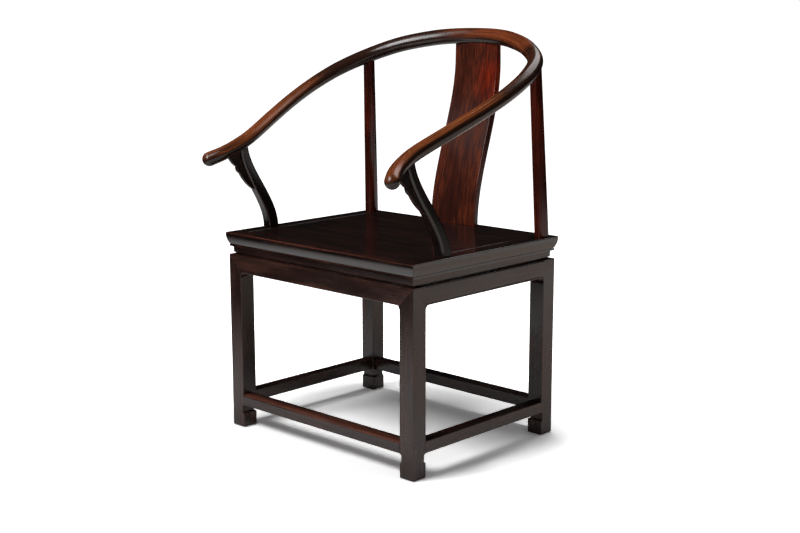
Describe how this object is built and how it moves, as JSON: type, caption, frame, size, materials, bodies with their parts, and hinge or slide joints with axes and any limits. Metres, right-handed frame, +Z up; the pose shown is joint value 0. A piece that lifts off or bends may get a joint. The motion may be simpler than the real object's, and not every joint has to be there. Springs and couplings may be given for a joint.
{
  "type": "horseshoe-back armchair",
  "caption": "Wooden armchair with a round horseshoe rail over S-shaped arm posts, a plain curved splat, a framed flat seat over a waist and aprons, square hoof-foot legs and level stretchers.",
  "frame": {"origin": "on the floor, under the middle of the whole chair's width and depth", "axes": "+X to the sitter's left, -Y forward out of the seat, +Z up"},
  "size_m": [0.6836, 0.677, 0.9963],
  "materials": {
    "seat_wood": "polished near-black lacquer",
    "base_wood": "polished near-black lacquer",
    "worn_foot_wood": "dark lacquer worn red-brown on top",
    "post_wood": "dark lacquer with red-brown showing",
    "splat_wood": "red-brown streaked lacquer",
    "crest_wood": "polished near-black lacquer",
    "worn_arm_wood": "orange-brown where hands have worn the lacquer"
  },
  "bodies": {
    "root": {"seat_rail_front": "seat_wood", "seat_rail_back": "seat_wood", "seat_rail_left": "seat_wood", "seat_rail_right": "seat_wood", "seat_board_front": "seat_wood", "seat_board_back": "seat_wood", "seat_batten_left": "base_wood", "seat_batten_right": "base_wood", "waist_front": "base_wood", "waist_back": "base_wood", "waist_left": "base_wood", "waist_right": "base_wood", "apron_front": "base_wood", "apron_back": "base_wood", "apron_left": "base_wood", "apron_right": "base_wood", "leg_front_left": "base_wood", "leg_front_right": "base_wood", "leg_back_left": "base_wood", "leg_back_right": "base_wood", "stretcher_front": "worn_foot_wood", "stretcher_back": "base_wood", "stretcher_left": "base_wood", "stretcher_right": "base_wood", "arm_post_left": "post_wood", "arm_post_right": "post_wood", "back_post_left": "post_wood", "back_post_right": "post_wood", "arm_bracket_left": "post_wood", "arm_bracket_right": "post_wood", "splat": "splat_wood", "rail_crest": "crest_wood", "rail_arm_left": "worn_arm_wood", "rail_arm_right": "worn_arm_wood", "scarf_pin_left": "crest_wood", "scarf_pin_right": "crest_wood"}
  },
  "joints": []
}
